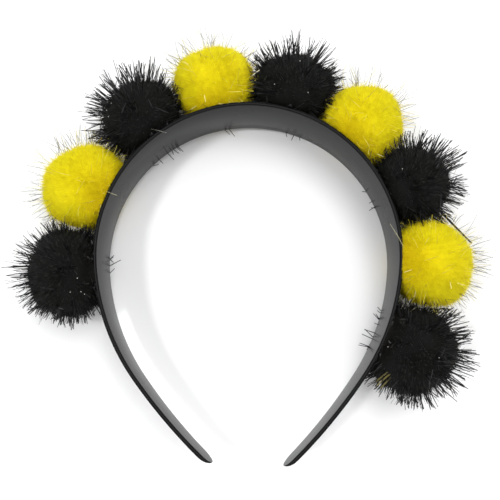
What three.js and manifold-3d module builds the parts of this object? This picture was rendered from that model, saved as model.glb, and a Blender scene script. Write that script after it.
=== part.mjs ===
// Tinsel headband: a springy plastic band with a row of fluffy pompoms round its outer face.
// Millimetres, +Z up. It lies on its side: the arch is flat in XY with its crown towards +Y and
// its two tips towards -Y, and it rests on the pile of the pompoms, pressed flat at z = 0.
import * as THREE from "three";
import { mergeVertices } from "three/addons/utils/BufferGeometryUtils.js";
import Module from "manifold-3d";

const wasm = await Module();
wasm.setup();

// Band
const BAND_THICKNESS = 1.7;
const BAND_EDGE_RADIUS = 0.6;
const BAND_EDGE_SHARE = 0.45; // the most of a narrow section's width that one rounded edge takes
const BAND_MID_HEIGHT = 16.2; // the band's middle line over the surface that it lies on
const BAND_CROWN_WIDTH = 25;
const BAND_TIP_WIDTH = 9.3;
const BAND_TAPER_POWER = 1.44; // over 1: the band narrows faster towards its tips
const BAND_STEPS = 51; // along the plain length; odd, so that one flat step lies across the crown
const TIP_STEPS = 4; // round each tip
const CORNER_STEPS = 2; // round each edge of the section

// Inner face of one half of the band, from the crown to a tip, as arcs that run into each other
const HALF_ARCH = [
  { radius: 61, sweepDeg: 95.9 }, // over the head
  { radius: 89.5, sweepDeg: 29.8 }, // behind the ear
  { radius: 226, sweepDeg: 11.5 }, // the springy end
];

// Pompoms
const SEAT_GAP = 0.3; // between a pompom and the band
const NEIGHBOUR_GAP = 0.4; // between two pompoms that press on each other
const GOLDEN_SHARE = (Math.sqrt(5) - 1) / 2; // spreads the locks evenly round a ball
const GOLDEN_ANGLE = 2 * Math.PI * (1 - GOLDEN_SHARE);

// Pile: locks are flat tapered strips, fused to a round core
const PILES = {
  black: {
    coreShare: 0.98, // core radius as a share of the ball's
    coreDetail: 2,
    lockCount: 48,
    lockSides: 4,
    lockRoot: 0.55, // where a lock starts, as a share of the ball's radius
    lockWidth: 8.5,
    lockFlatness: 0.5, // thickness of a lock as a share of its width
    lockTip: 0, // width at the tip as a share of the width at the root
    lockLean: 0.3, // radians off the straight way out
    lockReach: [3, 8], // past the ball, shortest and longest
    material: { color: 0x17161a, roughness: 0.75, metalness: 0 },
  },
  yellow: {
    coreShare: 0.96,
    coreDetail: 2,
    lockCount: 26,
    lockSides: 5,
    lockRoot: 0.8,
    lockWidth: 13,
    lockFlatness: 0.85,
    lockTip: 0.4,
    lockLean: 0,
    lockReach: [0, 0.8],
    material: { color: 0xf0dc14, roughness: 0.9, metalness: 0 },
  },
};

// From the left end of the row to the right: along is measured on the band's inner face from the
// crown, positive to +X, and standoff from that face out to the ball's middle
const POMPOMS = [
  { name: "pompom_black_1", pile: "black", along: -100.8, radius: 17.8, standoff: 13.2 },
  { name: "pompom_yellow_1", pile: "yellow", along: -70.0, radius: 18.0, standoff: 14.4 },
  { name: "pompom_black_2", pile: "black", along: -39.4, radius: 17.6, standoff: 13.4 },
  { name: "pompom_yellow_2", pile: "yellow", along: -11.0, radius: 17.5, standoff: 14.6 },
  { name: "pompom_black_3", pile: "black", along: 16.4, radius: 17.3, standoff: 13.0 },
  { name: "pompom_yellow_3", pile: "yellow", along: 43.6, radius: 17.3, standoff: 14.4 },
  { name: "pompom_black_4", pile: "black", along: 71.2, radius: 17.0, standoff: 13.6 },
  { name: "pompom_yellow_4", pile: "yellow", along: 98.8, radius: 17.8, standoff: 13.4 },
  { name: "pompom_black_5", pile: "black", along: 130.0, radius: 17.8, standoff: 13.0 },
];

const HALF_LENGTH = HALF_ARCH.reduce(
  (length, arc) => length + arc.radius * THREE.MathUtils.degToRad(arc.sweepDeg),
  0,
);

// The inner face's point at a distance from the crown, and the direction out of the arch there.
// Each arc's centre lies on the normal that it shares with the arc before it.
function archAt(along) {
  const normal = (turned) => new THREE.Vector2(Math.sin(turned), Math.cos(turned));
  const centre = new THREE.Vector2();
  let rest = Math.abs(along);
  let turned = 0;
  let arc = HALF_ARCH[0];
  for (const next of HALF_ARCH.slice(1)) {
    const sweep = THREE.MathUtils.degToRad(arc.sweepDeg);
    if (rest <= arc.radius * sweep) break;
    rest -= arc.radius * sweep;
    turned += sweep;
    centre.addScaledVector(normal(turned), arc.radius - next.radius);
    arc = next;
  }
  const outward = normal(turned + rest / arc.radius);
  const point = centre.clone().addScaledVector(outward, arc.radius);
  const side = along < 0 ? -1 : 1;
  point.x *= side;
  outward.x *= side;
  return { point, outward };
}

function bandWidth(along) {
  const share = Math.abs(along) / HALF_LENGTH;
  return BAND_CROWN_WIDTH - (BAND_CROWN_WIDTH - BAND_TIP_WIDTH) * share ** BAND_TAPER_POWER;
}

// Stations along the band, with the last half width at each end drawn in to a round tip
function bandStations() {
  const round = BAND_TIP_WIDTH / 2;
  const plain = HALF_LENGTH - round;
  const tip = [];
  for (let step = 1; step <= TIP_STEPS; step += 1) {
    const angle = (step / (TIP_STEPS + 0.5)) * (Math.PI / 2); // the last stops short of a point
    const along = plain + round * Math.sin(angle);
    tip.push({ along, width: bandWidth(along) * Math.cos(angle) });
  }
  const stations = tip.map(({ along, width }) => ({ along: -along, width })).reverse();
  for (let step = 0; step <= BAND_STEPS; step += 1) {
    const along = plain * ((2 * step) / BAND_STEPS - 1);
    stations.push({ along, width: bandWidth(along) });
  }
  return [...stations, ...tip];
}

// The band's section: a rectangle with round edges, from the inner face out, about its middle line
function bandSection(width) {
  const radius = Math.min(BAND_EDGE_RADIUS, width * BAND_EDGE_SHARE);
  const corners = [
    { out: BAND_THICKNESS - radius, up: width / 2 - radius, start: 0 },
    { out: radius, up: width / 2 - radius, start: Math.PI / 2 },
    { out: radius, up: radius - width / 2, start: Math.PI },
    { out: BAND_THICKNESS - radius, up: radius - width / 2, start: (3 * Math.PI) / 2 },
  ];
  return corners.flatMap(({ out, up, start }) =>
    Array.from({ length: CORNER_STEPS + 1 }, (_, step) => {
      const angle = start + (step / CORNER_STEPS) * (Math.PI / 2);
      return new THREE.Vector2(out + radius * Math.cos(angle), up + radius * Math.sin(angle));
    }),
  );
}

// A closed skin over rings of points that follow each other, with a fan over each end
function loft(rings) {
  const size = rings[0].length;
  const indices = [];
  for (let ring = 0; ring + 1 < rings.length; ring += 1) {
    for (let step = 0; step < size; step += 1) {
      const here = ring * size + step;
      const beside = ring * size + ((step + 1) % size);
      indices.push(here, beside, here + size, beside, beside + size, here + size);
    }
  }
  const last = (rings.length - 1) * size;
  for (let step = 1; step + 1 < size; step += 1) {
    indices.push(0, step + 1, step, last, last + step, last + step + 1);
  }
  const geometry = new THREE.BufferGeometry().setFromPoints(rings.flat());
  geometry.setIndex(indices);
  geometry.computeVertexNormals();
  return geometry;
}

function makeBand() {
  const rings = bandStations().map(({ along, width }) => {
    const { point, outward } = archAt(along);
    return bandSection(width).map(({ x: out, y: up }) => {
      const place = point.clone().addScaledVector(outward, out);
      return new THREE.Vector3(place.x, place.y, up);
    });
  });
  const material = new THREE.MeshStandardMaterial({ color: 0x1c1c1e, roughness: 0.4, metalness: 0 });
  const band = new THREE.Mesh(loft(rings), material);
  band.name = "band";
  band.position.z = BAND_MID_HEIGHT;
  return band;
}

function toSolid(geometry) {
  const bare = geometry.clone();
  bare.deleteAttribute("normal");
  bare.deleteAttribute("uv");
  const merged = mergeVertices(bare);
  return new wasm.Manifold(
    new wasm.Mesh({
      numProp: 3,
      vertProperties: merged.attributes.position.array,
      triVerts: new Uint32Array(merged.index.array),
    }),
  );
}

function toGeometry(solid) {
  const { vertProperties, triVerts } = solid.getMesh();
  const geometry = new THREE.BufferGeometry();
  geometry.setAttribute("position", new THREE.BufferAttribute(vertProperties, 3));
  geometry.setIndex(new THREE.BufferAttribute(triVerts, 1));
  geometry.computeVertexNormals();
  return geometry;
}

// A block that fills one side of a plane, from the point on the plane towards the given direction
function halfSpace(point, direction) {
  const size = 120;
  const block = new THREE.BoxGeometry(size, size, size).translate(0, size / 2, 0);
  const turn = new THREE.Quaternion().setFromUnitVectors(new THREE.Vector3(0, 1, 0), direction);
  return toSolid(block.applyQuaternion(turn).translate(point.x, point.y, point.z));
}

// Everything inside the band's outer face, with the seat gap added, through the whole height
function bandSpace() {
  const outline = bandStations().map(({ along }) => {
    const { point, outward } = archAt(along);
    return point.addScaledVector(outward, BAND_THICKNESS + SEAT_GAP);
  });
  const height = 80;
  const space = new THREE.ExtrudeGeometry(new THREE.Shape(outline), {
    depth: height,
    bevelEnabled: false,
  });
  return space.translate(0, 0, -height / 2);
}

// One lock of pile: a flat strip that starts inside the core and narrows to its tip
function makeLock(pile, radius, index) {
  const [shortest, longest] = pile.lockReach;
  const spread = (index * GOLDEN_SHARE) % 1; // an even mix of short and long locks
  const root = radius * pile.lockRoot;
  const length = radius + shortest + (longest - shortest) * spread - root;
  const width = pile.lockWidth / 2;
  const lock = new THREE.CylinderGeometry(width * pile.lockTip, width, length, pile.lockSides);
  lock.scale(1, 1, pile.lockFlatness);
  lock.translate(0, length / 2, 0);
  lock.rotateX(pile.lockLean * Math.sin(index));
  lock.rotateY(index * GOLDEN_ANGLE);
  lock.translate(0, root, 0);
  const rise = 1 - (2 * (index + 0.5)) / pile.lockCount;
  const direction = new THREE.Vector3().setFromCylindricalCoords(
    Math.sqrt(1 - rise * rise),
    index * GOLDEN_ANGLE,
    rise,
  );
  const turn = new THREE.Quaternion().setFromUnitVectors(new THREE.Vector3(0, 1, 0), direction);
  return lock.applyQuaternion(turn);
}

// A pompom about its own middle: core and locks, pressed flat by the band, the surface and its
// neighbours
function makePompom(row, centre, neighbours) {
  const pile = PILES[row.pile];
  let solid = toSolid(new THREE.IcosahedronGeometry(row.radius * pile.coreShare, pile.coreDetail));
  for (let index = 0; index < pile.lockCount; index += 1) {
    solid = solid.add(toSolid(makeLock(pile, row.radius, index)));
  }
  solid = solid.intersect(halfSpace(new THREE.Vector3(0, 0, -centre.z), new THREE.Vector3(0, 0, 1)));
  for (const other of neighbours) {
    const apart = centre.clone().sub(other);
    const face = apart.clone().multiplyScalar(-0.5);
    apart.normalize();
    solid = solid.intersect(halfSpace(face.addScaledVector(apart, NEIGHBOUR_GAP / 2), apart));
  }
  solid = solid.subtract(toSolid(bandSpace().translate(-centre.x, -centre.y, 0)));
  const pompom = new THREE.Mesh(toGeometry(solid), new THREE.MeshStandardMaterial(pile.material));
  pompom.name = row.name;
  pompom.position.copy(centre);
  return pompom;
}

const centres = POMPOMS.map(({ along, standoff }) => {
  const { point, outward } = archAt(along);
  point.addScaledVector(outward, standoff);
  return new THREE.Vector3(point.x, point.y, BAND_MID_HEIGHT);
});

const arch = new THREE.Group();
arch.add(makeBand());
POMPOMS.forEach((row, index) => {
  const neighbours = [centres[index - 1], centres[index + 1]].filter(Boolean);
  arch.add(makePompom(row, centres[index], neighbours));
});

// The origin is on the surface, below the middle of the whole headband
const box = new THREE.Box3().setFromObject(arch, true);
const middle = box.getCenter(new THREE.Vector3());
arch.position.set(-middle.x, -middle.y, -box.min.z);

const headband = new THREE.Group();
headband.add(arch);

export default headband;
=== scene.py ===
# Tinsel headband: black plastic band, plush yellow pompoms, black tinsel pompoms
import math

import bpy
import bmesh
import numpy as np
from mathutils import Matrix, Vector


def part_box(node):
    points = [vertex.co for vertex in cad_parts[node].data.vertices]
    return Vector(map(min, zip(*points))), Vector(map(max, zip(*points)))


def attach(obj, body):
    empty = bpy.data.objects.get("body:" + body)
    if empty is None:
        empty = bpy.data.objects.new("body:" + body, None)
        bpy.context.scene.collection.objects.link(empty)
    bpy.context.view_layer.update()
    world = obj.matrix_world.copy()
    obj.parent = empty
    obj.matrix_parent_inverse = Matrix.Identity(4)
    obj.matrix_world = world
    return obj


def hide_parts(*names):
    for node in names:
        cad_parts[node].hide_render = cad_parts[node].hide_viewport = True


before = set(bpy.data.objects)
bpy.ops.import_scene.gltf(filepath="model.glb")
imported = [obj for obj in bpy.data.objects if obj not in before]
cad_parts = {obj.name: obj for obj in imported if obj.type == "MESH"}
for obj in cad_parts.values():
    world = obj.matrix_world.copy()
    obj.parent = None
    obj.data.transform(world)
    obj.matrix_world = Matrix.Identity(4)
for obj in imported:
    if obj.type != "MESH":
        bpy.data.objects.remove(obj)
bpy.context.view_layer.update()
mm = 0.001
print("frame in:", len(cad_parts), "solids")


# band, in mm: the inner face is three arcs from the crown to each tip
band = {
    "arcs": [(61.0, 95.9), (89.5, 29.8), (226.0, 11.5)],  # radius, sweep in degrees
    "places": 1200,  # points along the arch, to look up what lies beside them
    "thickness": 1.7,
    "edgeRadius": 0.38,
    "edgeShare": 0.45,  # a rounded edge takes at most this much of a narrow or thin section
    "crownWidth": 25.0,
    "tipWidth": 9.3,
    "taperPower": 1.44,
    "crownFlat": 0.11,  # the solid's crown is one flat step, this much inside the true curve
    "steps": 240,
    "tipSteps": 14,
    "tipStop": 0.3,  # the last ring stops this part of a step before the end
    "cornerSteps": 6,
    "roll": 14.0,  # degrees that the shading of the faces rolls off to the edges, at the full width
    "rollPower": 3,  # narrower sections are shaded flatter
    # parting line on both edges: place across the flat from the inner side, height, slope in degrees
    "ridge": [(0.74, 0.0, 0), (0.68, 0.026, 0), (0.64, 0.028, -46), (0.16, 0.010, -46), (0.10, 0.0, 0)],
    "ends": (-0.7, 1.5),  # how much longer the left and right arms are than the mean
    "noseLength": 6.5,  # the tips thin down over this length
    "nosePower": 0.75,
    "noseThickness": 0.12,  # share of the thickness that is left at the end
}
halfLength = sum(radius * math.radians(sweep) for radius, sweep in band["arcs"])

bandLow, bandHigh = (np.array(corner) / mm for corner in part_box("band"))
outerRadius = band["arcs"][0][0] + band["thickness"]
archMiddle = np.array([
    (bandLow[0] + bandHigh[0]) / 2,
    bandHigh[1] - outerRadius + band["crownFlat"],
    (bandLow[2] + bandHigh[2]) / 2,
])


def archAt(along):
    # inner face point and the way out of the arch, in mm, for distances from the crown (+ is right)
    along = np.asarray(along, float)
    rest = np.abs(along)
    turned = np.zeros_like(rest)
    centre = np.zeros(2)
    start = 0.0
    begun = 0.0
    point = np.zeros(rest.shape + (2,))
    for index, (radius, sweep) in enumerate(band["arcs"]):
        sweep = math.radians(sweep)
        here = rest >= start
        angle = begun + (rest - start) / radius
        out = np.stack([np.sin(angle), np.cos(angle)], -1)
        point[here] = (centre + radius * out)[here]
        turned[here] = angle[here]
        start += radius * sweep
        begun += sweep
        if index + 1 < len(band["arcs"]):
            shift = radius - band["arcs"][index + 1][0]
            centre = centre + shift * np.array([math.sin(begun), math.cos(begun)])
    out = np.stack([np.sin(turned), np.cos(turned)], -1)
    side = np.where(along < 0, -1.0, 1.0)
    point[..., 0] *= side
    out[..., 0] *= side
    return point + archMiddle[:2], out


def bandWidth(along):
    share = np.abs(along) / halfLength
    return band["crownWidth"] - (band["crownWidth"] - band["tipWidth"]) * share ** band["taperPower"]


archAlong = np.linspace(-halfLength, halfLength, band["places"])
archPoints, archOut = archAt(archAlong)


def archPlace(points):
    # how far along the band each point is, how far out from its inner face, and the way out
    flat = points[:, :2]
    nearest = np.empty(len(flat), int)
    batch = 4000  # points at a time, to save memory
    for first in range(0, len(flat), batch):
        part = flat[first:first + batch]
        apart = ((part[:, None, :] - archPoints[None, :, :]) ** 2).sum(-1)
        nearest[first:first + batch] = apart.argmin(1)
    out = ((flat - archPoints[nearest]) * archOut[nearest]).sum(1)
    return archAlong[nearest], out, archOut[nearest]


# pompoms, from the left end of the row to the right, in mm
# along and standoff: the middle of the ball, from the crown along the inner face and out from it
# bulges: heading seen from above, swell, spread in degrees
# border: how far past the middle between two balls the border with the next one lies
# fringe: length of the tinsel strips, as a share of the usual
pompoms = [
    {
        "node": "pompom_black_1", "colour": "black", "along": -100.8, "radius": 17.8, "standoff": 13.2,
        "bulges": [(-90, 2.0, 30), (115, 2.2, 26), (-135, 1.6, 22)], "border": -1.5, "fringe": 0.86,
    },
    {
        "node": "pompom_yellow_1", "colour": "yellow", "along": -70.0, "radius": 18.0, "standoff": 14.4,
        "bulges": [(120, -2.2, 32), (-138, 1.9, 28), (-75, 1.4, 22)], "border": 0.0, "fringe": 1.12,
    },
    {
        "node": "pompom_black_2", "colour": "black", "along": -39.4, "radius": 17.6, "standoff": 13.4,
        "bulges": [(120, 0.8, 30), (-168, 1.4, 18), (58, 1.8, 20)], "border": -1.0, "fringe": 1.08,
    },
    {
        "node": "pompom_yellow_2", "colour": "yellow", "along": -11.0, "radius": 17.5, "standoff": 14.6,
        "bulges": [(155, 1.8, 26), (50, 1.1, 28), (112, -0.6, 16)], "border": 0.0, "fringe": 1.2,
    },
    {
        "node": "pompom_black_3", "colour": "black", "along": 16.4, "radius": 17.3, "standoff": 13.0,
        "bulges": [(15, 2.8, 28), (140, 1.6, 25), (62, 1.0, 16)], "border": 1.0, "fringe": 1.0,
    },
    {
        "node": "pompom_yellow_3", "colour": "yellow", "along": 43.6, "radius": 17.3, "standoff": 14.4,
        "bulges": [(90, -1.4, 28), (36, 0.9, 20), (-22, 1.5, 24), (-70, 2.0, 20), (155, -1.0, 20)],
        "border": 1.6, "fringe": 1.15,
    },
    {
        "node": "pompom_black_4", "colour": "black", "along": 71.2, "radius": 17.0, "standoff": 13.6,
        "bulges": [(0, 1.0, 30)], "border": 0.6, "fringe": 1.0,
    },
    {
        "node": "pompom_yellow_4", "colour": "yellow", "along": 98.8, "radius": 17.8, "standoff": 13.4,
        "bulges": [(-55, 2.5, 32), (10, 0.8, 25), (120, -1.0, 24), (-130, -0.9, 18)],
        "border": 2.2, "fringe": 1.1,
    },
    {
        "node": "pompom_black_5", "colour": "black", "along": 130.0, "radius": 17.8, "standoff": 13.0,
        "bulges": [(-90, 2.2, 35), (-5, 1.9, 32), (-135, 1.4, 20)], "border": 0.0, "fringe": 1.0,
    },
]
for ball in pompoms:
    seat, out = archAt(ball["along"])
    ball["centre"] = np.array([*(seat + out * ball["standoff"]), archMiddle[2]])
    ball["out"] = out

# camera, in mm from the middle of the arch and degrees; it looks almost straight down
cameraSet = {
    "place": (1.9, -26.7, 205.2),
    "pitch": 8.03,
    "roll": 0.29,
    "turn": 0.58,
    "view": 54.0,
    "clipStart": 10.0,
}
cameraTurn = (
    Matrix.Rotation(math.radians(cameraSet["roll"]), 3, "Y")
    @ Matrix.Rotation(math.radians(cameraSet["pitch"]), 3, "X")
    @ Matrix.Rotation(-math.radians(cameraSet["turn"]), 3, "Z")
)
camera = bpy.data.objects.new("camera", bpy.data.cameras.new("camera"))
bpy.context.collection.objects.link(camera)
camera.location = Vector(archMiddle + np.array(cameraSet["place"])) * mm
camera.rotation_euler = cameraTurn.to_euler()
camera.data.angle = math.radians(cameraSet["view"])
camera.data.clip_start = cameraSet["clipStart"] * mm
bpy.context.scene.camera = camera
print("camera set")


# mesh and node helpers
def makeMesh(name, points, faces, smooth=True):
    mesh = bpy.data.meshes.new(name)
    mesh.from_pydata((np.asarray(points) * mm).tolist(), [], faces)
    mesh.polygons.foreach_set("use_smooth", np.full(len(mesh.polygons), smooth))
    mesh.update()
    piece = bpy.data.objects.new(name, mesh)
    bpy.context.collection.objects.link(piece)
    return piece


def dye(piece, tone, tint):
    # tone and tint set each fibre's colour; the map spreads the fibres by the same two values
    mesh = piece.data
    for name, values in (("tone", tone), ("tint", tint)):
        mesh.attributes.new(name, "FLOAT", "POINT").data.foreach_set("value", values.astype(np.float32))
    corner = np.empty(len(mesh.loops), np.int32)
    mesh.loops.foreach_get("vertex_index", corner)
    low, high = 0.01, 0.99  # inside the borders of the map
    spread = np.clip(np.stack([tone, tint], -1), low, high)[corner]
    mesh.uv_layers.new(name="OFBake").uv.foreach_set("vector", spread.astype(np.float32).ravel())


def newMaterial(name):
    material = bpy.data.materials.new(name)
    material.use_nodes = True
    nodes = material.node_tree.nodes
    return material, nodes, material.node_tree.links, nodes["Principled BSDF"]


def setSockets(shader, values):
    for name, value in values.items():
        shader.inputs[name].default_value = value


def addNode(nodes, kind, **values):
    node = nodes.new(kind)
    for key, value in values.items():
        if hasattr(node, key):
            setattr(node, key, value)
        else:
            node.inputs[key.replace("_", " ")].default_value = value
    return node


def addRamp(nodes, stops):
    ramp = nodes.new("ShaderNodeValToRGB")
    elements = ramp.color_ramp.elements
    while len(elements) < len(stops):
        elements.new(0.5)
    for element, (position, colour) in zip(elements, stops):
        element.position = position
        element.color = (*colour, 1.0)
    return ramp


def softNoise(points, size, seed, waves=10):
    # smooth wandering values of about -1 to 1, with lumps of about the given size
    shortest, longest = 1.4, 2.6  # waves, to the size of the lumps
    rng = np.random.default_rng(seed)
    total = np.zeros(len(points))
    for _ in range(waves):
        way = rng.normal(size=3)
        way /= np.linalg.norm(way)
        pitch = size * rng.uniform(shortest, longest)
        total += np.sin(points @ way * (2 * math.pi / pitch) + rng.uniform(0, 2 * math.pi))
    return total / math.sqrt(waves / 2)


# satin black plastic
bandFinish = {
    "cloud": {"Scale": 60.0, "Detail": 3.0},
    "grain": {"Scale": 2600.0, "Detail": 2.0},
    "shades": [(0.3, (0.0015, 0.0015, 0.0015)), (0.7, (0.003, 0.003, 0.003))],
    "roughness": {"To_Min": 0.21, "To_Max": 0.31},
    "bump": {"Strength": 0.05, "Distance": 0.0001},
    "sockets": {"Specular IOR Level": 0.31},
}


def bandMaterial():
    material, nodes, links, shader = newMaterial("satinPlastic")
    place = addNode(nodes, "ShaderNodeTexCoord")
    cloud = addNode(nodes, "ShaderNodeTexNoise", **bandFinish["cloud"])
    grain = addNode(nodes, "ShaderNodeTexNoise", **bandFinish["grain"])
    tint = addRamp(nodes, bandFinish["shades"])
    gloss = addNode(nodes, "ShaderNodeMapRange", **bandFinish["roughness"])
    bump = addNode(nodes, "ShaderNodeBump", **bandFinish["bump"])
    links.new(place.outputs["Object"], cloud.inputs["Vector"])
    links.new(place.outputs["Object"], grain.inputs["Vector"])
    links.new(cloud.outputs["Fac"], tint.inputs["Fac"])
    links.new(cloud.outputs["Fac"], gloss.inputs["Value"])
    links.new(grain.outputs["Fac"], bump.inputs["Height"])
    links.new(tint.outputs["Color"], shader.inputs["Base Color"])
    links.new(gloss.outputs["Result"], shader.inputs["Roughness"])
    links.new(bump.outputs["Normal"], shader.inputs["Normal"])
    setSockets(shader, bandFinish["sockets"])
    return material


def bandSection(width, thickness):
    # rounded rectangle with a fine parting ridge on both edges: out from the inner face, up, and normals
    radius = min(band["edgeRadius"], width * band["edgeShare"], thickness * band["edgeShare"])
    corners = [(thickness - radius, 1), (radius, 1), (radius, -1), (thickness - radius, -1)]
    roll = band["roll"] * (width / band["crownWidth"]) ** band["rollPower"]
    share = np.linspace(0, 1, band["cornerSteps"] + 1)
    ridge = np.array(band["ridge"]) * (thickness - 2 * radius, 1, math.pi / 180)
    ring = []
    normals = []
    for turn, (out, side) in enumerate(corners):
        angle = (turn + share) * math.pi / 2
        up = side * (width / 2 - radius)
        ring.append(np.stack([out + radius * np.cos(angle), up + radius * np.sin(angle)], -1))
        first, last = ((roll, 90), (90, 180 - roll), (180 + roll, 270), (270, 360 - roll))[turn]
        angle = np.radians(first + (last - first) * share)
        normals.append(np.stack([np.cos(angle), np.sin(angle)], -1))
        if turn in (0, 2):
            over, height, slope = ridge[::side].T
            ring.append(np.stack([radius + over, side * (width / 2 + height)], -1))
            normals.append(np.stack([np.sin(slope), side * np.cos(slope)], -1))
    return np.concatenate(ring), np.concatenate(normals)


def bandStations():
    # distances along the band with its width and thickness there; the tips are round and thin down
    tipRound = band["tipWidth"] / 2
    left, right = (halfLength + more for more in band["ends"])
    angles = np.arange(1, band["tipSteps"] + 1) / (band["tipSteps"] + band["tipStop"]) * math.pi / 2
    leftTip = -(left - tipRound + tipRound * np.sin(angles[::-1]))
    rightTip = right - tipRound + tipRound * np.sin(angles)
    middle = np.linspace(tipRound - left, right - tipRound, band["steps"])
    along = np.concatenate([leftTip, middle, rightTip])
    narrow = np.concatenate([np.cos(angles[::-1]), np.ones(band["steps"]), np.cos(angles)])
    toEnd = np.minimum(along + left, right - along)
    nose = np.clip(1 - toEnd / band["noseLength"], 0, 1)
    thick = band["thickness"] * np.maximum((1 - nose ** 2) ** band["nosePower"], band["noseThickness"])
    return along, bandWidth(along) * narrow, thick


def makeBand():
    along, width, thick = bandStations()
    rings = []
    normals = []
    for place, way, wide, deep in zip(*archAt(along), width, thick):
        section, facing = bandSection(wide, deep)
        flat = place + section[:, :1] * way
        rings.append(np.column_stack([flat, archMiddle[2] + section[:, 1]]))
        normals.append(np.column_stack([facing[:, :1] * way, facing[:, 1]]))
    size = len(rings[0])
    faces = []
    for ring in range(len(rings) - 1):
        for step in range(size):
            here = ring * size + step
            beside = ring * size + (step + 1) % size
            faces.append((here, beside, beside + size, here + size))
    last = (len(rings) - 1) * size
    faces.append(tuple(range(size - 1, -1, -1)))
    faces.append(tuple(range(last, last + size)))
    piece = makeMesh("headBand", np.concatenate(rings), faces)
    piece.data.normals_split_custom_set_from_vertices(np.concatenate(normals).tolist())
    piece.data.materials.append(bandMaterial())
    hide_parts("band")
    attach(piece, "root")


makeBand()
print("band lofted")


# room that each pompom has, in mm: the floor, its neighbours and the band press the pile flat
room = {
    "floor": 0.05,
    "bandGap": 0.15,
    "overRim": 0.8,  # how far the pile may lean in over the band's upper edge
    "neighbourGap": 0.15,
    "bow": 1.2,  # the yellow balls swell into the black ones near the line between their middles
    "bowSpan": 9.0,
}
for index, ball in enumerate(pompoms):
    ball["walls"] = []
    for beside in (index - 1, index + 1):
        if 0 <= beside < len(pompoms):
            other = pompoms[beside]
            way = ball["centre"] - other["centre"]
            way /= np.linalg.norm(way)
            border = other["border"] if beside < index else -ball["border"]
            middle = (ball["centre"] + other["centre"]) / 2
            ball["walls"].append((middle + way * (border + room["neighbourGap"] / 2), way))


def overFloor(points):
    points[:, 2] = np.maximum(points[:, 2], room["floor"])
    return points


def press(points, ball, crossing=0.0):
    # moves points out of the neighbours, the band and the floor; crossing lets strands mingle
    points = points.copy()
    bow = room["bow"] if ball["colour"] == "yellow" else -room["bow"]
    for wall, way in ball["walls"]:
        height = (points - wall) @ way
        off = np.linalg.norm(points - wall - height[:, None] * way, axis=1)
        depth = -height - crossing - bow * np.clip(1 - (off / room["bowSpan"]) ** 2, -1, 1)
        points += np.maximum(depth, 0)[:, None] * way
    along, out, way = archPlace(points)
    above = points[:, 2] - archMiddle[2] > bandWidth(along) / 2 + room["bandGap"]
    push = np.maximum(band["thickness"] + room["bandGap"] - np.where(above, room["overRim"], 0.0) - out, 0)
    points[:, :2] += push[:, None] * way
    return overFloor(points)


def spreadOver(count, rng, jitter):
    # even directions round a ball, a golden angle apart and shaken a little
    index = np.arange(count) + 0.5
    rise = 1 - 2 * index / count
    turn = index * math.pi * (3 - math.sqrt(5))
    level = np.sqrt(1 - rise ** 2)
    way = np.stack([level * np.cos(turn), level * np.sin(turn), rise], -1)
    way += rng.normal(scale=jitter, size=way.shape)
    return way / np.linalg.norm(way, axis=1, keepdims=True)


def acrossOf(way, rng):
    # a random direction square to each given one
    side = rng.normal(size=way.shape)
    side -= (side * way).sum(1, keepdims=True) * way
    return side / np.linalg.norm(side, axis=1, keepdims=True)


def unit(vectors):
    shortest = 1e-9  # so that no length of zero divides
    return vectors / np.maximum(np.linalg.norm(vectors, axis=-1, keepdims=True), shortest)


# seeds of the first pompom's pile and tinsel, and what is added for the softer noises in a pile
seeds = {"pile": 100, "tinsel": 500, "drift": 11, "patch": 31, "mottle": 51}

# pile, in mm: a lumpy core with thousands of fine tapered fibres standing on it
piles = {
    "yellow": {
        "coreInset": 1.2,
        "coreCuts": 5,
        "coreTone": 0.32,
        "lump": 0.16,
        "lumpSize": 7.0,
        "fibres": 24000,
        "fibreWidth": 0.24,
        "rootDepth": 0.4,
        "reach": (-0.5, 0.7),  # tips, from the ball's radius
        "longShare": 0.16,  # a few fibres stand out further
        "longReach": (0.2, 2.0),
        "lean": 0.35,
        "tufts": 260,
        "gather": 0.16,  # how far the tips draw together in tufts
        "lift": 0.8,  # tilt of the shading normals, for light that soaks through the pile
        "patchSize": 8.0,
        "mottle": 0.5,  # fine lighter and darker streaks
        "mottleSize": 1.4,
        "paintedShadeDepth": 9.0,  # painted shade: the pile is darker and warmer this near the band and its neighbours
        "crossing": 1.2,  # how far the tips reach into the neighbours
        "slot": "yellow_pile",
    },
    "black": {
        "coreInset": 1.5,
        "coreCuts": 5,
        "coreTone": 0.20,
        "lump": 0.40,
        "lumpSize": 6.0,
        "fibres": 9000,
        "fibreWidth": 0.32,
        "rootDepth": 0.5,
        "reach": (-0.8, 0.5),
        "longShare": 0.22,
        "longReach": (0.2, 1.8),
        "lean": 0.45,
        "tufts": 200,
        "gather": 0.30,
        "lift": 0.0,
        "patchSize": 9.0,
        "mottle": 0.8,
        "mottleSize": 0.7,
        "paintedShadeDepth": 4.0,
        "crossing": 0.5,
        "slot": "black_pile",
    },
}
# what the fibres of both colours share
fibre = {
    "jitter": 0.012,  # of the fibres' places, and of the tufts'
    "tuftJitter": 0.06,
    "driftSize": 9.0,
    "drift": 0.3,  # how much of the lean neighbours share, and how much each fibre has alone
    "ownLean": 0.5,
    "widths": (0.7, 1.2),
    "corners": (0, 2.094, 4.189),  # a fibre has three sides; turns in radians
    "coreToneSpread": 0.06,
    "rootTone": (0.32, 0.2),  # darkest, and the range above it; roots darker than tips, like the darker core, are painted shade deep in the pile
    "tipTone": (0.55, 0.3),
    "mottleWaves": 24,
    "besideShade": 0.8,  # a neighbour paints less shade than the band, and only nearer by
    "besideNearer": 1.6,
    "shadeTone": 0.25,
    "tint": 0.38,  # between cold and warm, with patches, more warmth in the painted shade and a little noise
    "patchTint": 0.06,
    "shadeTint": 0.5,
    "tintSpread": 0.04,
}


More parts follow.
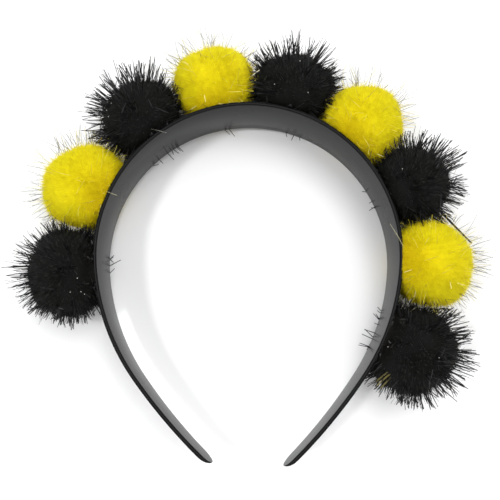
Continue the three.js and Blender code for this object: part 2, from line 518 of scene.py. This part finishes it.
def ballRadius(way, ball):
    # the ball's radius with its swollen and flattened sides
    heading = np.degrees(np.arctan2(way[:, 1], way[:, 0]))
    radius = np.full(len(way), ball["radius"])
    for middle, swell, spread in ball["bulges"]:
        turn = (heading - middle + 180) % 360 - 180
        radius += swell * (1 - way[:, 2] ** 2) * np.exp(-(turn / spread) ** 2)
    return radius


def coreRadius(way, ball, pile, seed):
    lump = softNoise(way * ball["radius"], pile["lumpSize"], seed)
    return ballRadius(way, ball) - pile["coreInset"] + pile["lump"] * lump


def makeCore(ball, pile, seed):
    shape = bmesh.new()
    bmesh.ops.create_icosphere(shape, subdivisions=pile["coreCuts"], radius=1.0)
    way = np.array([vert.co[:] for vert in shape.verts])
    faces = [[vert.index for vert in face.verts] for face in shape.faces]
    shape.free()
    points = ball["centre"] + way * coreRadius(way, ball, pile, seed)[:, None]
    return press(points, ball), faces


def pileFibres(ball, pile, seed, rng):
    # directions, roots and tips of the fibres, which lean about and draw together in tufts
    way = spreadOver(pile["fibres"], rng, fibre["jitter"])
    count = len(way)
    tuftWay = spreadOver(pile["tufts"], rng, fibre["tuftJitter"])
    tuft = tuftWay[(way @ tuftWay.T).argmax(1)]
    driftSeed = seed + seeds["drift"]
    onBall = way * ball["radius"]
    drift = np.stack([softNoise(onBall, fibre["driftSize"], driftSeed + axis) for axis in range(3)], -1)
    own = rng.normal(size=way.shape)
    lean = unit(way + pile["lean"] * (fibre["drift"] * drift + fibre["ownLean"] * own))
    tipRadius = ballRadius(way, ball) + rng.uniform(*pile["reach"], size=count)
    long = rng.random(count) < pile["longShare"]
    tipRadius[long] += rng.uniform(*pile["longReach"], size=long.sum())
    coreAt = coreRadius(way, ball, pile, seed)
    root = ball["centre"] + way * (coreAt - pile["rootDepth"])[:, None]
    length = tipRadius - coreAt + pile["rootDepth"]
    tip = root + lean * length[:, None]
    gathered = ball["centre"] + tuft * np.linalg.norm(tip - ball["centre"], axis=1, keepdims=True)
    tip += (gathered - tip) * pile["gather"] * rng.random((count, 1))
    return way, press(root, ball), press(tip, ball, crossing=pile["crossing"])


def fibreMesh(root, tip, thick, rng):
    # slim three-sided spikes, four points each
    stem = unit(tip - root)
    sideA = acrossOf(stem, rng)
    sideB = np.cross(stem, sideA)
    width = thick * rng.uniform(*fibre["widths"], size=(len(root), 1)) / 2
    corners = [
        root + width * (math.cos(turn) * sideA + math.sin(turn) * sideB) for turn in fibre["corners"]
    ]
    points = np.stack([*corners, tip], 1).reshape(-1, 3)
    first = 4 * np.arange(len(root))[:, None]
    faces = np.concatenate([first + np.array(turn) for turn in ((0, 1, 3), (1, 2, 3), (2, 0, 3))])
    return points, faces


def inShade(points, ball, depth):
    # 0 to 1: strength of the painted shade, from how near points are to the band and the neighbours
    paintedShade = np.clip(1 - (archPlace(points)[1] - band["thickness"]) / depth, 0, 1)
    for wall, way in ball["walls"]:
        beside = np.clip(1 - (points - wall) @ way / depth * fibre["besideNearer"], 0, 1)
        paintedShade = np.maximum(paintedShade, fibre["besideShade"] * beside)
    return paintedShade


def makePile(ball, material, seed):
    pile = piles[ball["colour"]]
    rng = np.random.default_rng(seed)
    corePoints, coreFaces = makeCore(ball, pile, seed)
    way, root, tip = pileFibres(ball, pile, seed, rng)
    fibrePoints, fibreFaces = fibreMesh(root, tip, pile["fibreWidth"], rng)
    points = overFloor(np.concatenate([corePoints, fibrePoints]))
    shade = rng.random(len(way))
    mottleSeed = seed + seeds["mottle"]
    mottle = softNoise(way * ball["radius"], pile["mottleSize"], mottleSeed, waves=fibre["mottleWaves"])
    shade += pile["mottle"] * mottle
    coreTone = pile["coreTone"] + fibre["coreToneSpread"] * rng.random(len(corePoints))
    rootTone, tipTone = (low + span * shade for low, span in (fibre["rootTone"], fibre["tipTone"]))
    tone = np.concatenate([coreTone, np.stack([rootTone, rootTone, rootTone, tipTone], 1).ravel()])
    # painted shade: the pile is darker and warmer near the band and the neighbours
    paintedShade = inShade(points, ball, pile["paintedShadeDepth"])
    tone -= fibre["shadeTone"] * paintedShade
    patch = softNoise(points, pile["patchSize"], seed + seeds["patch"])
    patch = fibre["tint"] + fibre["patchTint"] * patch + fibre["shadeTint"] * paintedShade
    tint = np.clip(patch + fibre["tintSpread"] * rng.normal(size=len(points)), 0, 1)
    name = "pile_" + ball["node"].removeprefix("pompom_")
    piece = makeMesh(name, points, coreFaces + (len(corePoints) + fibreFaces).tolist())
    dye(piece, tone, tint)
    around = unit(unit(points - ball["centre"]) + pile["lift"] * np.array([0, 0, 1]))
    piece.data.normals_split_custom_set_from_vertices(around.tolist())
    piece.data.materials.append(material)
    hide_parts(ball["node"])
    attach(piece, "root")


# tinsel, in mm: flat strips of film, in little clumps, standing out past the pile
tinsels = {
    "black": {
        "clumps": 430,
        "perClump": (2, 6),
        "crownShare": 0.18,  # of the clumps that are kept on the upper and under sides
        "spread": 0.045,  # of the roots in a clump
        "sway": 0.17,  # of the clumps' directions
        "splay": 0.09,  # of the strips' directions in a clump
        "width": (0.32, 0.52),
        "thickness": 0.08,
        "reach": (3.5, 10.0),  # past the ball's radius, for the shortest and longest clumps
        "outer": 0.45,  # share of the reach that only the side away from the band has
        "bend": 0.10,
        "twist": 0.6,
        "lyingShare": 0.08,  # of the strips that lie along the ball
        "lyingTone": (0.3, 0.65),
        "upperFrom": 0.35,  # the strips on the upper and under sides have their own tones
        "upperTone": (0.0, 0.7),
        "rootBlend": 0.0,  # how far the roots take the pile's colour
        "dullness": 2.0,
        "steps": 3,
        "crossing": 2.0,
        "slot": "black_pile",
    },
    "yellow": {
        "clumps": 420,
        "perClump": (1, 3),
        "crownShare": 0.25,
        "spread": 0.08,
        "sway": 0.22,
        "splay": 0.22,
        "width": (0.14, 0.22),
        "thickness": 0.07,
        "reach": (3.0, 9.5),
        "outer": 0.4,
        "bend": 0.18,
        "twist": 1.5,
        "lyingShare": 0.12,
        "lyingTone": (0.25, 0.55),
        "upperFrom": 0.62,
        "upperTone": (0.32, 0.84),
        "rootBlend": 0.7,
        "dullness": 3.0,
        "steps": 4,
        "crossing": 2.0,
        "slot": "yellow_pile",
    },
}
# what the strips of both colours share
strip = {
    "jitter": 0.10,  # of the clumps' places
    "keep": (1.5, 1.8),  # share of the clumps at the sides, and its fall towards the top
    "away": (0.5, 0.6),  # share of the full reach beside the ball, and its rise away from the band
    "clumpReach": (0.5, 1.0),
    "ownReach": (0.65, 1.1),
    "rootDepth": 2.5,
    "bulgeTrim": 1.2,  # strips are shorter where the ball is swollen
    "shortest": 1.0,
    "lyingDepth": 0.3,
    "lyingRise": 0.35,
    "lyingLength": (3.0, 7.0),
    "taper": 0.35,  # how much narrower the tip is
    "brightest": 0.8,
    "rootTone": 0.6,  # the pile's colour, and how it fades from the root
    "rootFade": (1.3, 2),
    "toneSpread": 0.02,
}


def stripMesh(paths, side, width, thickness, twist):
    # strips with a flat diamond section, four points a row, along the given paths
    count, rows, _ = paths.shape
    stem = unit(np.gradient(paths, axis=1))
    flat = side[:, None, :] - (side[:, None, :] * stem).sum(-1, keepdims=True) * stem
    flat = unit(flat)
    other = np.cross(stem, flat)
    share = np.linspace(0, 1, rows)[None, :, None]
    angle = twist[:, None, None] * share
    wide = width[:, None, None] / 2 * (1 - strip["taper"] * share ** 2)
    broad = wide * (np.cos(angle) * flat + np.sin(angle) * other)
    thin = thickness / 2 * (np.cos(angle) * other - np.sin(angle) * flat)
    points = np.stack([paths + broad, paths + thin, paths - broad, paths - thin], 2).reshape(-1, 3)
    base = np.arange(count)[:, None, None] * rows * 4
    step = np.arange(rows - 1)[None, :, None] * 4
    corner = np.arange(4)[None, None, :]
    here = base + step + corner
    beside = base + step + (corner + 1) % 4
    faces = np.stack([here, beside, beside + 4, here + 4], -1).reshape(-1, 4)
    end = (base[:, 0] + (rows - 1) * 4) + np.arange(4)
    start = base[:, 0] + np.arange(3, -1, -1)
    return points, np.concatenate([faces, end, start])


# strands that poke into the arch, under the band's lower edge or over its upper one
strays = {
    "edgeGap": 0.5,
    "start": 6.0,  # how far out from the inner face they leave the pile
    # the pale tone of the over strands stands in for glints: a painted highlight
    "tone": {"under": 0.05, "over": 0.93},
    "width": {"under": 0.42, "over": 0.11},
    # edge, place along the band, reach inside the arch, lean along the band
    "places": {
        "pompom_black_1": [
            ("under", -96.0, 4.6, 2.4), ("under", -93.8, 1.4, 1.5), ("under", -99.8, 1.9, 1.7),
            ("under", -94.5, 1.2, 1.0), ("under", -97.1, 1.4, -1.2),
        ],
        "pompom_yellow_1": [("over", -70.2, 3.0, 0.1)],
        "pompom_black_2": [
            ("under", -45.5, 1.0, 1.6), ("under", -43.6, 2.1, 0.2), ("under", -38.5, 3.8, 0.4),
            ("under", -37.2, 1.6, -0.5), ("under", -34.7, 2.5, 0.9), ("under", -33.4, 1.9, 0.4),
            ("under", -32.5, 2.8, 0.7), ("over", -35.8, 1.5, 1.2),
        ],
        "pompom_yellow_2": [("under", -8.3, 2.1, 1.7), ("under", -6.1, 3.3, 1.9)],
        "pompom_black_3": [
            ("under", 19.1, 1.3, 0.7), ("under", 21.7, 2.3, -0.2), ("under", 25.5, 0.9, 0.5),
        ],
        "pompom_black_4": [
            ("under", 63.7, 1.1, -0.9), ("under", 70.1, 1.0, 0.1),
            ("under", 72.4, 1.2, -0.6), ("under", 73.3, 2.5, 0.5),
        ],
        "pompom_yellow_4": [("over", 84.5, 2.6, -6.5)],
        "pompom_black_5": [
            ("under", 118.7, 1.7, -1.1), ("under", 120.2, 1.5, -0.5), ("under", 122.0, 2.7, -1.6),
            ("under", 121.8, 1.7, -1.4), ("under", 125.8, 1.2, -0.1), ("under", 129.9, 4.2, -1.7),
            ("under", 130.2, 4.2, 0.4), ("under", 132.5, 4.6, 0.0), ("under", 136.6, 3.9, 0.5),
            ("under", 137.6, 4.0, 1.2),
        ],
    },
}


def strayStrips(ball, rows):
    # paths, widths and tones of the strands that poke into the arch
    placed = strays["places"].get(ball["node"], [])
    share = np.linspace(0, 1, rows)
    paths = []
    for edge, along, reach, lean in placed:
        out = strays["start"] - (strays["start"] + reach) * share
        inside = reach / (strays["start"] + reach)
        point, way = archAt(along + lean * (share - 1) / inside)
        flat = point + out[:, None] * way
        edgeHeight = bandWidth(along) / 2 + strays["edgeGap"]
        height = archMiddle[2] + (edgeHeight if edge == "over" else -edgeHeight)
        paths.append(np.column_stack([flat, np.full(rows, height)]))
    widths, tones = ([strays[what][row[0]] for row in placed] for what in ("width", "tone"))
    return np.array(paths).reshape(-1, rows, 3), widths, tones


# painted glints: bright bits of film, coloured pale to stand in for glints on the upper side
paintedGlints = {
    "length": {"black": 0.4, "yellow": 3.0},
    "width": {"black": 0.26, "yellow": 0.18},
    "tone": {"black": 0.95, "yellow": 0.92},
    "sink": 0.3,
    "stand": 0.35,
    "wander": 0.5,
    "lowest": 1.0,  # over the middle of the ball, at least
    "crossing": 1.0,
    # places as seen from above, from the middle of the ball
    "places": {
        "pompom_black_1": [(7.6, -4.1), (4.8, -9.3), (8.3, -9.2), (9.3, -10.1)],
        "pompom_yellow_1": [(9.3, -11.1), (7.9, -13.2)],
        "pompom_black_2": [
            (-13.5, 5.0), (-11.0, 2.8), (-11.7, -2.7), (-13.1, 0.6), (-14.8, -1.2), (-14.2, -5.0),
            (-15.2, 3.4),
        ],
        "pompom_yellow_2": [(-7.6, -12.3), (-3.8, -9.5), (2.1, -12.2), (6.4, -11.2), (-10.2, 4.1)],
        "pompom_black_3": [(5.8, -6.1), (2.6, 7.3), (-7.9, -2.5)],
        "pompom_yellow_3": [(4.4, -14.9)],
        "pompom_black_4": [(-6.4, 2.9)],
        "pompom_yellow_4": [(-10.3, -4.6), (-7.9, -13.0), (3.8, -9.2), (6.9, -9.5)],
        "pompom_black_5": [(6.1, -3.4), (-11.9, 0.6)],
    },
}


def paintedGlintStrips(ball, rows, rng):
    # paths, widths and tones of the painted glints
    spots = np.array(paintedGlints["places"].get(ball["node"], [])).reshape(-1, 2)
    rise = np.sqrt(np.maximum(ball["radius"] ** 2 - (spots ** 2).sum(1), paintedGlints["lowest"] ** 2))
    way = unit(np.column_stack([spots, rise]))
    outward = np.column_stack([unit(spots), np.zeros(len(spots))])
    outward -= (outward * way).sum(1, keepdims=True) * way
    lean = unit(paintedGlints["stand"] * way + outward + paintedGlints["wander"] * acrossOf(way, rng))
    root = ball["centre"] + way * (ballRadius(way, ball) - paintedGlints["sink"])[:, None]
    reach = np.linspace(0, paintedGlints["length"][ball["colour"]], rows)
    paths = root[:, None, :] + lean[:, None, :] * reach[None, :, None]
    paths = press(paths.reshape(-1, 3), ball, paintedGlints["crossing"]).reshape(-1, rows, 3)
    widths, tones = (np.full(len(spots), paintedGlints[what][ball["colour"]]) for what in ("width", "tone"))
    return paths, widths, tones


# single strands: one end, other end, width, tone; in mm from the middle of the arch
strands = {
    "pompom_yellow_1": [
        ((-80.6, 24.2, 7.0), (-83.6, 22.4, 7.8), 0.35, 0.94),
        ((-80.4, 21.4, 2.0), (-87.2, 16.6, 2.0), 0.4, 1.0),
        ((-82.8, 26.2, 2.0), (-90.4, 24.0, 2.0), 0.35, 1.0),
    ],
    "pompom_yellow_2": [
        ((-0.6, 75.4, 5.0), (5.8, 77.4, 11.0), 0.5, 1.0),
        ((-27.3, 79.0, 6.0), (-33.5, 82.5, 3.0), 0.4, 1.0),
    ],
    "pompom_black_4": [((79.0, 18.4, 4.5), (90.8, 2.9, 8.0), 0.95, 0.1)],
    "pompom_black_5": [
        ((56.2, -46.8, 10.2), (50.2, -53.0, 6.5), 0.80, 0.890),
        ((55.2, -46.4, 10.4), (49.6, -51.4, 7.5), 0.70, 0.880),
        ((56.9, -47.6, 10.2), (51.6, -54.0, 6.5), 0.70, 0.885),
        ((55.6, -47.6, 10.2), (50.6, -51.6, 8.5), 0.60, 0.895),
        # these three pale strands stand in for glints: a painted highlight
        ((62.0, -24.4, 6.0), (64.7, -19.4, 9.0), 0.25, 0.94),
        ((60.7, -24.2, 6.0), (62.6, -20.2, 8.5), 0.22, 0.92),
        ((63.4, -25.2, 7.0), (66.2, -22.8, 9.5), 0.22, 0.90),
    ],
}


def strandStrips(ball, rows):
    # paths, widths and tones of the single strands
    placed = strands.get(ball["node"], [])
    share = np.linspace(0, 1, rows)[:, None]
    paths = [np.array(start) + (np.array(end) - start) * share for start, end, _, _ in placed]
    widths = [width for _, _, width, _ in placed]
    tones = [tone for _, _, _, tone in placed]
    return np.array(paths).reshape(-1, rows, 3) + archMiddle, widths, tones


def clumpPaths(ball, tinsel, rng):
    # paths of the strips in clumps, where they stand on the ball, their lean, and which lie flat
    clumpWay = spreadOver(tinsel["clumps"], rng, strip["jitter"])
    sides, fall = strip["keep"]
    keep = np.clip(sides - fall * np.abs(clumpWay[:, 2]), tinsel["crownShare"], 1)
    clumpWay = clumpWay[rng.random(len(clumpWay)) < keep]
    fewest, most = tinsel["perClump"]
    perClump = rng.integers(fewest, most + 1, size=len(clumpWay))
    clumpSway = rng.normal(scale=tinsel["sway"], size=clumpWay.shape)
    level, gain = strip["away"]
    away = np.clip(level + gain * clumpWay[:, :2] @ ball["out"], 0, 1)
    low, high = tinsel["reach"]
    clumpReach = low + (high - low) * rng.uniform(*strip["clumpReach"], size=len(clumpWay))
    clumpReach *= ball["fringe"] * (1 - tinsel["outer"] * (1 - away))
    way, sway, reach = (np.repeat(value, perClump, axis=0) for value in (clumpWay, clumpSway, clumpReach))
    count = len(way)
    way = unit(way + rng.normal(scale=tinsel["spread"], size=way.shape))
    lean = unit(way + sway + rng.normal(scale=tinsel["splay"], size=way.shape))
    reach = reach * rng.uniform(*strip["ownReach"], size=count)
    lying = rng.random(count) < tinsel["lyingShare"]
    across = acrossOf(way, rng)
    lean[lying] = unit(strip["lyingRise"] * way[lying] + across[lying])
    radius = ballRadius(way, ball)
    depth = np.where(lying, strip["lyingDepth"], strip["rootDepth"])
    root = ball["centre"] + way * (radius - depth)[:, None]
    trimmed = reach - strip["bulgeTrim"] * (radius - ball["radius"])
    length = np.maximum(trimmed, strip["shortest"]) + strip["rootDepth"]
    length[lying] = rng.uniform(*strip["lyingLength"], size=lying.sum())
    curl = acrossOf(lean, rng) * rng.normal(scale=tinsel["bend"], size=(count, 1))
    share = np.linspace(0, 1, tinsel["steps"] + 1)[None, :, None]
    reachAlong = share * length[:, None, None]
    paths = root[:, None, :] + lean[:, None, :] * reachAlong + curl[:, None, :] * share * reachAlong
    pressed = press(paths.reshape(-1, 3), ball, tinsel["crossing"])
    return pressed.reshape(paths.shape), way, lean, lying


def makeTinsel(ball, material, seed):
    tinsel = tinsels[ball["colour"]]
    rng = np.random.default_rng(seed)
    paths, way, lean, lying = clumpPaths(ball, tinsel, rng)
    count, rows, _ = paths.shape
    placed = strayStrips(ball, rows), paintedGlintStrips(ball, rows, rng), strandStrips(ball, rows)
    placedPaths, placedWidths, placedTones = (np.concatenate(parts) for parts in zip(*placed))
    paths = np.concatenate([paths, placedPaths])
    lean = np.concatenate([lean, unit(placedPaths[:, -1] - placedPaths[:, 0])])
    side = acrossOf(lean, rng)
    side[count:] = unit(np.cross(lean[count:], (0, 0, 1)))
    width = rng.uniform(*tinsel["width"], size=len(paths))
    width[count:] = placedWidths
    twist = rng.normal(scale=tinsel["twist"], size=len(paths))
    twist[count:] = 0
    points, faces = stripMesh(paths, side, width, tinsel["thickness"], twist)
    points = overFloor(points)
    shine = strip["brightest"] * rng.random(count) ** tinsel["dullness"]
    upper = np.abs(way[:, 2]) > tinsel["upperFrom"]
    shine[upper] = rng.uniform(*tinsel["upperTone"], size=upper.sum())
    shine[lying] = rng.uniform(*tinsel["lyingTone"], size=lying.sum())
    toned = np.repeat(np.concatenate([shine, placedTones])[:, None], rows, axis=1)
    start, fall = strip["rootFade"]
    blend = tinsel["rootBlend"] * np.clip(start - fall * np.linspace(0, 1, rows), 0, 1)
    toned[:count] += blend * (strip["rootTone"] - toned[:count])
    perStrip = len(points) // len(paths)
    tone = np.repeat(toned, perStrip // rows, axis=1).ravel()
    tone += np.tile(np.linspace(-strip["toneSpread"], strip["toneSpread"], perStrip), len(paths))
    tint = np.tile(np.linspace(0, 1, perStrip), len(paths))
    name = "tinsel_" + ball["node"].removeprefix("pompom_")
    piece = makeMesh(name, points, faces.tolist(), smooth=False)
    dye(piece, tone, tint)
    piece.data.materials.append(material)
    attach(piece, "root")


def pileColour(nodes, links, shader, coldStops, warmStops):
    # colour by tone, between a cold and a warm row of shades; the tone is darker deep in the pile and near
    # the band and neighbours, both painted shade, and varies at random
    tone = addNode(nodes, "ShaderNodeAttribute", attribute_name="tone")
    tint = addNode(nodes, "ShaderNodeAttribute", attribute_name="tint")
    cold = addRamp(nodes, coldStops)
    warm = addRamp(nodes, warmStops)
    mix = addNode(nodes, "ShaderNodeMix", data_type="RGBA")
    links.new(tone.outputs["Fac"], cold.inputs["Fac"])
    links.new(tone.outputs["Fac"], warm.inputs["Fac"])
    links.new(tint.outputs["Fac"], mix.inputs["Factor"])
    links.new(cold.outputs["Color"], mix.inputs["A"])
    links.new(warm.outputs["Color"], mix.inputs["B"])
    links.new(mix.outputs["Result"], shader.inputs["Base Color"])


# soft yellow plush: darker and golden deep in the pile, a painted shade, lemon at the tips; golden also in
# patches and in the painted shade by the band and neighbours
plush = {
    "lemon": [(0.05, (0.60, 0.48, 0.003)), (0.45, (0.80, 0.70, 0.005)), (0.95, (0.96, 0.89, 0.012))],
    "golden": [(0.05, (0.53, 0.37, 0.001)), (0.45, (0.76, 0.59, 0.003)), (0.95, (0.93, 0.80, 0.006))],
    "sockets": {
        "Roughness": 0.9,
        "Sheen Weight": 0.7,
        "Sheen Roughness": 0.5,
        "Sheen Tint": (1.0, 0.92, 0.25, 1.0),
        "Specular IOR Level": 0.15,
    },
}


def yellowPlush():
    material, nodes, links, shader = newMaterial("yellowPlush")
    pileColour(nodes, links, shader, plush["lemon"], plush["golden"])
    setSockets(shader, plush["sockets"])
    return material


# matte black fuzz with faint blue and brown patches; browner and darker in the painted shade by the band
# and neighbours, and darker deep in the pile, also painted shade
fuzz = {
    "blue": [(0.05, (0.002, 0.002, 0.002)), (0.5, (0.007, 0.009, 0.009)), (0.95, (0.036, 0.040, 0.041))],
    "brown": [(0.05, (0.002, 0.002, 0.001)), (0.5, (0.010, 0.009, 0.007)), (0.95, (0.047, 0.043, 0.034))],
    "sockets": {"Roughness": 0.85, "Specular IOR Level": 0.2},
}


def blackFuzz():
    material, nodes, links, shader = newMaterial("blackFuzz")
    pileColour(nodes, links, shader, fuzz["blue"], fuzz["brown"])
    setSockets(shader, fuzz["sockets"])
    return material


# film of the tinsel, from dark strips to bright ones; the palest shades are painted glints
films = {
    "black": {
        "name": "blackFilm",
        "shades": [
            (0.2, (0.002, 0.002, 0.002)), (0.85, (0.024, 0.024, 0.026)),
            (0.90, (0.13, 0.11, 0.03)), (0.97, (0.80, 0.80, 0.76)),
        ],
        "sockets": {"Roughness": 0.38, "Specular IOR Level": 0.35},
    },
    "yellow": {
        "name": "clearFilm",
        "shades": [
            (0.2, (0.03, 0.028, 0.016)), (0.6, (0.74, 0.63, 0.06)),
            (0.90, (0.90, 0.82, 0.26)), (0.97, (0.93, 0.90, 0.70)),
        ],
        "sockets": {"Roughness": 0.3, "Specular IOR Level": 0.5},
    },
}


def filmOf(colour):
    film = films[colour]
    material, nodes, links, shader = newMaterial(film["name"])
    tone = addNode(nodes, "ShaderNodeAttribute", attribute_name="tone")
    shade = addRamp(nodes, film["shades"])
    links.new(tone.outputs["Fac"], shade.inputs["Fac"])
    links.new(shade.outputs["Color"], shader.inputs["Base Color"])
    setSockets(shader, film["sockets"])
    return material


pileMaterial = {"yellow": yellowPlush(), "black": blackFuzz()}
filmMaterial = {"black": filmOf("black"), "yellow": filmOf("yellow")}
for index, ball in enumerate(pompoms):
    makePile(ball, pileMaterial[ball["colour"]], seeds["pile"] + index)
    makeTinsel(ball, filmMaterial[ball["colour"]], seeds["tinsel"] + index)
    print("pompom", ball["node"])


# white surface
floorFinish = {
    "size": 6.0,  # in metres
    "cloud": {"Scale": 3.0, "Detail": 2.0},
    "shades": [(0.3, (0.89, 0.89, 0.895)), (0.7, (0.91, 0.91, 0.91))],
    "sockets": {"Roughness": 0.85, "Specular IOR Level": 0.1},
}


def floorMaterial():
    material, nodes, links, shader = newMaterial("paleFloor")
    cloud = addNode(nodes, "ShaderNodeTexNoise", **floorFinish["cloud"])
    tint = addRamp(nodes, floorFinish["shades"])
    links.new(cloud.outputs["Fac"], tint.inputs["Fac"])
    links.new(tint.outputs["Color"], shader.inputs["Base Color"])
    setSockets(shader, floorFinish["sockets"])
    return material


half = floorFinish["size"] / 2 / mm
floorCorners = [(-half, -half, 0), (half, -half, 0), (half, half, 0), (-half, half, 0)]
floor = makeMesh("floor", floorCorners, [(0, 1, 2, 3)])
floor.data.materials.append(floorMaterial())

# soft studio light, in metres
studio = {
    # height in the sky, brightness: bright sides, a darker ring, and a pale patch straight above
    "sky": [(0.55, 1.16), (0.86, 0.12), (0.975, 0.12), (0.99, 0.57)],
    "lamps": [
        {"name": "lampLeft", "place": (-0.59, -0.12, 0.97), "size": 0.16, "power": 4.5},
        {"name": "lampKey", "place": (0.25, 0.29, 1.04), "size": 0.52, "power": 4.9},
        {"name": "lampRight", "place": (0.60, -0.10, 0.86), "size": 0.50, "power": 1.4},
        {"name": "lampBack", "place": (0.18, 0.73, 0.88), "size": 0.50, "power": 2.0},
    ],
}
world = bpy.data.worlds.new("studio")
world.use_nodes = True
skyNodes = world.node_tree.nodes
skyLinks = world.node_tree.links
skyWay = addNode(skyNodes, "ShaderNodeTexCoord")
skyAxes = addNode(skyNodes, "ShaderNodeSeparateXYZ")
skyShade = addRamp(skyNodes, [(height, (bright,) * 3) for height, bright in studio["sky"]])
skyLinks.new(skyWay.outputs["Generated"], skyAxes.inputs["Vector"])
skyLinks.new(skyAxes.outputs["Z"], skyShade.inputs["Fac"])
skyLinks.new(skyShade.outputs["Color"], skyNodes["Background"].inputs["Color"])
bpy.context.scene.world = world
for lamp in studio["lamps"]:
    light = bpy.data.objects.new(lamp["name"], bpy.data.lights.new(lamp["name"], "AREA"))
    bpy.context.collection.objects.link(light)
    light.data.size = lamp["size"]
    light.data.energy = lamp["power"]
    light.location = lamp["place"]
    light.visible_glossy = False
    light.rotation_euler = (-Vector(lamp["place"])).to_track_quat("-Z", "Y").to_euler()
bpy.context.scene.view_settings.view_transform = "Standard"
print("studio lit")
